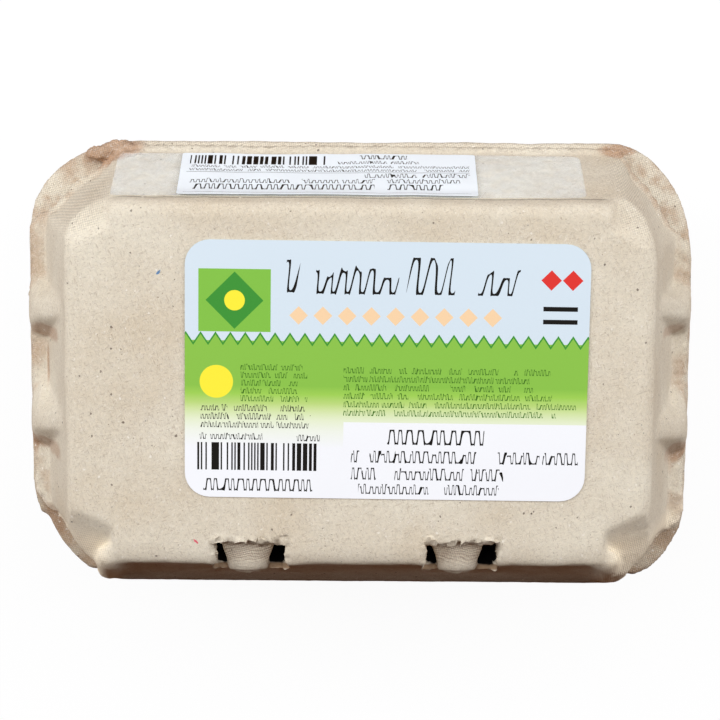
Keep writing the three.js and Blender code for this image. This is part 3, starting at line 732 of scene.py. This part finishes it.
def printRows(tree, u, v, block):
    # Rows of small bows that stand for lines of print: words with gaps, some taller strokes, ragged row ends
    left, right, top = block["left"], block["right"], block["top"]
    pitch, rows, tall, letter = block["pitch"], block["rows"], block["tall"], block["letter"]
    down = addNode(tree, "ShaderNodeMath", {
        "operation": "MULTIPLY_ADD", 0: v, 1: -1 / pitch, 2: top / pitch}).outputs[0]
    row = addNode(tree, "ShaderNodeMath", {"operation": "FLOOR", 0: down}).outputs[0]
    part = addNode(tree, "ShaderNodeMath", {"operation": "FRACT", 0: down}).outputs[0]
    rise = addNode(tree, "ShaderNodeMath", {
        "operation": "MULTIPLY_ADD", 0: part, 1: -pitch, 2: tall}).outputs[0]
    lot = addNode(tree, "ShaderNodeMath", {
        "operation": "MULTIPLY_ADD", 0: row, 1: 7.31, 2: left + top}).outputs[0]
    chance = addNode(tree, "ShaderNodeTexWhiteNoise", {"noise_dimensions": "1D", "W": lot}).outputs["Value"]
    end = addNode(tree, "ShaderNodeMath", {
        "operation": "MULTIPLY_ADD", 0: chance, 1: -block.get("ragged", 0.0), 2: right}).outputs[0]
    kept = addNode(tree, "ShaderNodeMath", {"operation": "LESS_THAN", 0: u, 1: end}).outputs[0]
    window = boxMask(tree, u, v, left, right, top - pitch * (rows - 1) - tall * 1.1, top + 0.1 * tall)
    level = addNode(tree, "ShaderNodeCombineXYZ", {0: u, 2: lot}).outputs[0]
    # Words: 1 but for the gaps
    words = addNode(tree, "ShaderNodeMapping", {"Vector": level, "Scale": (0.26 / letter, 1, 1)}).outputs[0]
    words = addNode(tree, "ShaderNodeTexNoise", {"Vector": words, "Scale": 1.0, "Detail": 0.0}).outputs["Fac"]
    words = addNode(tree, "ShaderNodeMath", {
        "operation": "GREATER_THAN", 0: words, 1: block.get("gaps", 0.37)}).outputs[0]
    # Most strokes are low, some reach the row's top
    uneven = addNode(tree, "ShaderNodeMapping", {
        "Vector": level, "Location": (40, 0, 0), "Scale": (0.8 / letter, 1, 1)})
    uneven = addNode(tree, "ShaderNodeTexNoise", {
        "Vector": uneven.outputs[0], "Scale": 1.0, "Detail": 0.0}).outputs["Fac"]
    reach = addNode(tree, "ShaderNodeMath", {
        "operation": "GREATER_THAN", 0: uneven, 1: block.get("low", 0.55)}).outputs[0]
    reach = addNode(tree, "ShaderNodeMapRange", {0: reach, 3: 0.68 * tall, 4: 0.96 * tall}).outputs[0]
    along = addNode(tree, "ShaderNodeMath", {
        "operation": "MULTIPLY_ADD", 0: uneven, 1: 1.4 * letter, 2: u}).outputs[0]
    line = penLine(tree, along, rise, letter, reach, block.get("width", 0.2) * letter)
    return product(tree, [kept, window, words, line])


def sheetPlace(tree):
    # Millimetres from the middle of the sheet, out of its UV map
    uvMap = addNode(tree, "ShaderNodeUVMap")
    place = addNode(tree, "ShaderNodeVectorMath", {
        "operation": "SUBTRACT", 0: uvMap.outputs[0], 1: (0.5, 0.5, 0)})
    place = addNode(tree, "ShaderNodeVectorMath", {
        "operation": "SCALE", 0: place.outputs[0], "Scale": 100.0}).outputs[0]
    axes = addNode(tree, "ShaderNodeSeparateXYZ", {0: place})
    return place, axes.outputs[0], axes.outputs[1]


def inked(tree, tone, layers):
    # Lays each colour over the ones before it, where its mask is
    for mask, hexCode in layers:
        tone = tinted(tree, tone, mask, hexCode)
    return tone


# Plain marks: a box by its left, right, low and high side, a diamond or disc by its middle and reach
labelMarks = (
    (boxMask, (-50, 50, 6.4, 40), "sky"), (boxMask, (-9.1, 50, -40, -11.2), "paper"),
    (boxMask, (-40.5, -25.0, 8.3, 21.9), "square"), (diamondMask, (-32.75, 15.1, 6.2), "deepGreen"),
    (discMask, (-32.75, 15.1, 2.2), "yellow"), (discMask, (-36.6, -2.6, 3.6), "yellow"),
    (diamondMask, (35.0, 20.3, 2.2), "red"), (diamondMask, (39.6, 20.3, 2.2), "red"),
    (boxMask, (33.4, 40.8, 13.6, 14.6), "ink"), (boxMask, (33.4, 40.8, 10.8, 11.8), "ink"),
)
# The zigzag between sky and green: half its period, its slope, its lowest height and half its line's width
labelBorder = {"half": 1.6, "slope": 1.5, "base": 5.6, "line": 0.3}
# The row of tan diamonds: the first one's middle, their pitch, reach and number
diamondRow = {"x": -19.0, "y": 12.0, "pitch": 5.2, "reach": 2.0, "count": 9}
# The bars of chance widths: their area, module and seed
labelBars = ((-40.7, -14.4, -22.1, -16.0), 0.33, 11.0)
# The title's written waves: left and right end, base line, period and height
titleWaves = (
    (-25.4, -22.4, 17.2, 3.4, 6.6), (-18.8, -0.8, 17.0, 3.0, 6.4),
    (1.2, 11.6, 17.0, 3.6, 7.6), (16.6, 24.8, 17.0, 3.2, 7.0),
)
# Blocks of print with their ink. Letter is the period of the strokes, gaps is how open the words are.
labelRows = (
    ({"left": -31.4, "right": -15.0, "top": 1.3, "pitch": 1.72, "rows": 5, "tall": 1.2, "letter": 0.72,
     "ragged": 5}, "greenInk"),
    ({"left": -40.0, "right": -14.6, "top": -7.6, "pitch": 1.85, "rows": 3, "tall": 1.3, "letter": 0.74,
     "ragged": 3}, "greyInk"),
    ({"left": -40.2, "right": -26.6, "top": -13.9, "pitch": 3.0, "rows": 1, "tall": 1.3, "letter": 0.8},
     "ink"),
    ({"left": -19.2, "right": -14.2, "top": -14.1, "pitch": 3.0, "rows": 1, "tall": 1.3, "letter": 0.9,
     "gaps": 0}, "ink"),
    ({"left": -39.4, "right": -15.7, "top": -24.0, "pitch": 4.0, "rows": 1, "tall": 2.5, "letter": 1.7,
     "width": 0.17, "low": 0, "gaps": 0}, "ink"),
    ({"left": -9.2, "right": 42.6, "top": 0.9, "pitch": 1.86, "rows": 6, "tall": 1.25, "letter": 0.72,
     "ragged": 12}, "greenInk"),
    ({"left": 0.4, "right": 21.4, "top": -12.7, "pitch": 4.4, "rows": 1, "tall": 3.1, "letter": 2.3,
     "width": 0.16, "low": 0, "gaps": 0}, "ink"),
    ({"left": -7.4, "right": 41.8, "top": -17.4, "pitch": 4.1, "rows": 1, "tall": 2.5, "letter": 1.6,
     "width": 0.17, "low": 0.45}, "ink"),
    ({"left": -7.4, "right": 31.0, "top": -21.2, "pitch": 4.1, "rows": 1, "tall": 2.5, "letter": 1.5,
     "width": 0.17}, "ink"),
    ({"left": -7.4, "right": 24.8, "top": -24.8, "pitch": 4.1, "rows": 1, "tall": 2.1, "letter": 1.2,
     "width": 0.18}, "ink"),
)


def labelMaterial():
    material, tree = newMaterial("printed_satin_paper")
    place, u, v = sheetPlace(tree)
    # Ground: sky over green, and the green fading into white
    fade = addNode(tree, "ShaderNodeMapRange", {0: v, 1: labelFade[0][0], 2: labelFade[-1][0]})
    ground = addNode(tree, "ShaderNodeValToRGB", {0: fade.outputs[0]})
    stops = ground.color_ramp.elements
    span = labelFade[-1][0] - labelFade[0][0]
    stops[0].color = linear(labelFade[0][1])
    stops[1].color = linear(labelFade[-1][1])
    for height, hexCode in labelFade[1:-1]:
        stops.new((height - labelFade[0][0]) / span).color = linear(hexCode)
    layers = []
    for shape, measures, ink in labelMarks:
        layers.append((shape(tree, u, v, *measures), ink))
    for left, right, base, period, tall in titleWaves:
        layers.append((scribbleMask(tree, u, v, (left, right, base), period, tall, 0.46), "ink"))
    # A zigzag where the sky meets the green, all across, and a row of tan diamonds above it
    zigzag = addNode(tree, "ShaderNodeMath", {
        "operation": "PINGPONG", 0: u, 1: labelBorder["half"]}).outputs[0]
    peak = addNode(tree, "ShaderNodeMath", {
        "operation": "MULTIPLY_ADD", 0: zigzag, 1: labelBorder["slope"], 2: labelBorder["base"]}).outputs[0]
    under = addNode(tree, "ShaderNodeMath", {"operation": "LESS_THAN", 0: v, 1: peak}).outputs[0]
    edge = addNode(tree, "ShaderNodeMath", {
        "operation": "COMPARE", 0: v, 1: peak, 2: labelBorder["line"]}).outputs[0]
    layers += [(product(tree, [under, boxMask(tree, u, v, -50, 50, 5.0, 9.0)]), "green"), (edge, "deepGreen")]
    for count in range(diamondRow["count"]):
        x = diamondRow["x"] + diamondRow["pitch"] * count
        layers.append((diamondMask(tree, u, v, x, diamondRow["y"], diamondRow["reach"]), "tan"))
    layers.append((stripeMask(tree, u, v, *labelBars), "ink"))
    for block, ink in labelRows:
        layers.append((printRows(tree, u, v, block), ink))
    tone = inked(tree, ground.outputs[0], [(mask, labelInk[name]) for mask, name in layers])
    fibre = addNode(tree, "ShaderNodeTexNoise", {"Vector": place, "Scale": 1.6, "Detail": 4.0}).outputs["Fac"]
    bump = addNode(tree, "ShaderNodeBump", {"Strength": 0.12, "Distance": 0.05 * mm, "Height": fibre})
    shader = addNode(tree, "ShaderNodeBsdfPrincipled", {
        "Roughness": 0.55, "Specular IOR Level": 0.15, "Base Color": tone, "Normal": bump.outputs[0]})
    addNode(tree, "ShaderNodeOutputMaterial", {"Surface": shader.outputs[0]})
    return material


# White satin sticker paper, printed in black only
stickerRows = (
    ({"left": 6.9, "right": 17.4, "top": 9.3, "pitch": 3.0, "rows": 1, "tall": 1.7, "letter": 1.3, "low": 0,
     "gaps": 0}, "ink"),
    ({"left": 2.0, "right": 20.0, "top": 6.6, "pitch": 3.0, "rows": 1, "tall": 1.2, "letter": 0.8},
     "greyInk"),
    ({"left": -30.5, "right": 31.0, "top": 4.4, "pitch": 1.7, "rows": 2, "tall": 1.0, "letter": 0.7},
     "greyInk"),
    ({"left": 8.0, "right": 31.0, "top": 0.6, "pitch": 4.0, "rows": 1, "tall": 1.8, "letter": 1.2,
     "width": 0.17}, "ink"),
    ({"left": -30.0, "right": 31.0, "top": -2.0, "pitch": 4.0, "rows": 1, "tall": 1.9, "letter": 1.2,
     "width": 0.17}, "ink"),
    ({"left": -30.0, "right": 25.0, "top": -4.7, "pitch": 4.0, "rows": 1, "tall": 2.3, "letter": 1.7,
     "width": 0.18, "low": 0}, "ink"),
)
# Its bars, and its two thin rules by their left, right, low and high side
stickerBars = ((-30.5, -0.7, 4.9, 9.0), 0.36, 3.0)
stickerRules = ((-31, 31, 0.95, 1.1), (-31, 31, -9.1, -8.98))


def stickerMaterial():
    material, tree = newMaterial("white_satin_paper")
    u, v = sheetPlace(tree)[1:]
    ground = addNode(tree, "ShaderNodeRGB")
    ground.outputs[0].default_value = linear(labelInk["sticker"])
    layers = [(printRows(tree, u, v, block), ink) for block, ink in stickerRows]
    layers.append((stripeMask(tree, u, v, *stickerBars), "ink"))
    layers += [(boxMask(tree, u, v, *rule), "greyInk") for rule in stickerRules]
    tone = inked(tree, ground.outputs[0], [(mask, labelInk[name]) for mask, name in layers])
    shader = addNode(tree, "ShaderNodeBsdfPrincipled", {
        "Roughness": 0.45, "Specular IOR Level": 0.3, "Base Color": tone})
    addNode(tree, "ShaderNodeOutputMaterial", {"Surface": shader.outputs[0]})
    return material


# Clear polypropylene film: it wets the pulp and looks slightly grey, and its glue shows as faint milky cloud
filmFinish = {"tint": "#e6eef2", "cloud": (0.16, 0.26), "gloss": 0.3}


def filmMaterial():
    material, tree = newMaterial("clear_film")
    place = sheetPlace(tree)[0]
    cloud = addNode(tree, "ShaderNodeTexNoise", {
        "Vector": place, "Scale": 0.35, "Detail": 3.0}).outputs["Fac"]
    cover = addNode(tree, "ShaderNodeMapRange", {
        0: cloud, 1: 0.35, 2: 0.65, 3: filmFinish["cloud"][0], 4: filmFinish["cloud"][1]}).outputs[0]
    crease = addNode(tree, "ShaderNodeTexNoise", {
        "Vector": place, "Scale": 0.8, "Detail": 3.0}).outputs["Fac"]
    bump = addNode(tree, "ShaderNodeBump", {"Strength": 0.25, "Distance": 0.1 * mm, "Height": crease})
    shader = addNode(tree, "ShaderNodeBsdfPrincipled", {
        "Base Color": linear(filmFinish["tint"]), "Roughness": filmFinish["gloss"], "Specular IOR Level": 0.5,
        "IOR": 1.49, "Alpha": cover, "Normal": bump.outputs[0]})
    # Light goes through it to the pulp unweakened
    path = addNode(tree, "ShaderNodeLightPath")
    clear = addNode(tree, "ShaderNodeBsdfTransparent")
    film = addNode(tree, "ShaderNodeMixShader", {
        0: path.outputs["Is Shadow Ray"], 1: shader.outputs[0], 2: clear.outputs[0]})
    addNode(tree, "ShaderNodeOutputMaterial", {"Surface": film.outputs[0]})
    return material


say("camera and studio")
makeCamera()
makeStudio()
say("pulp lid and tray")
pulp = pulpMaterial()
lid = makeLid(pulp)
tray = makeTray(pulp)
say("label, seal strip and sticker")
label = makeSheet("paper_label", paperLabel, lid)
thicken(label, paperLabel)
finishPiece(label, labelMaterial(), "label_paper", "label")
tape = makeSheet("seal_tape_film", sealTape, lid)
liftEdge(tape, sealTape)
thicken(tape, sealTape)
finishPiece(tape, filmMaterial(), "clear_film", "seal_tape")
sticker = makeSheet("seal_sticker", sealSticker, lid)
liftEdge(sticker, sealSticker)
thicken(sticker, sealSticker)
finishPiece(sticker, stickerMaterial(), "sticker_paper", "seal_label")
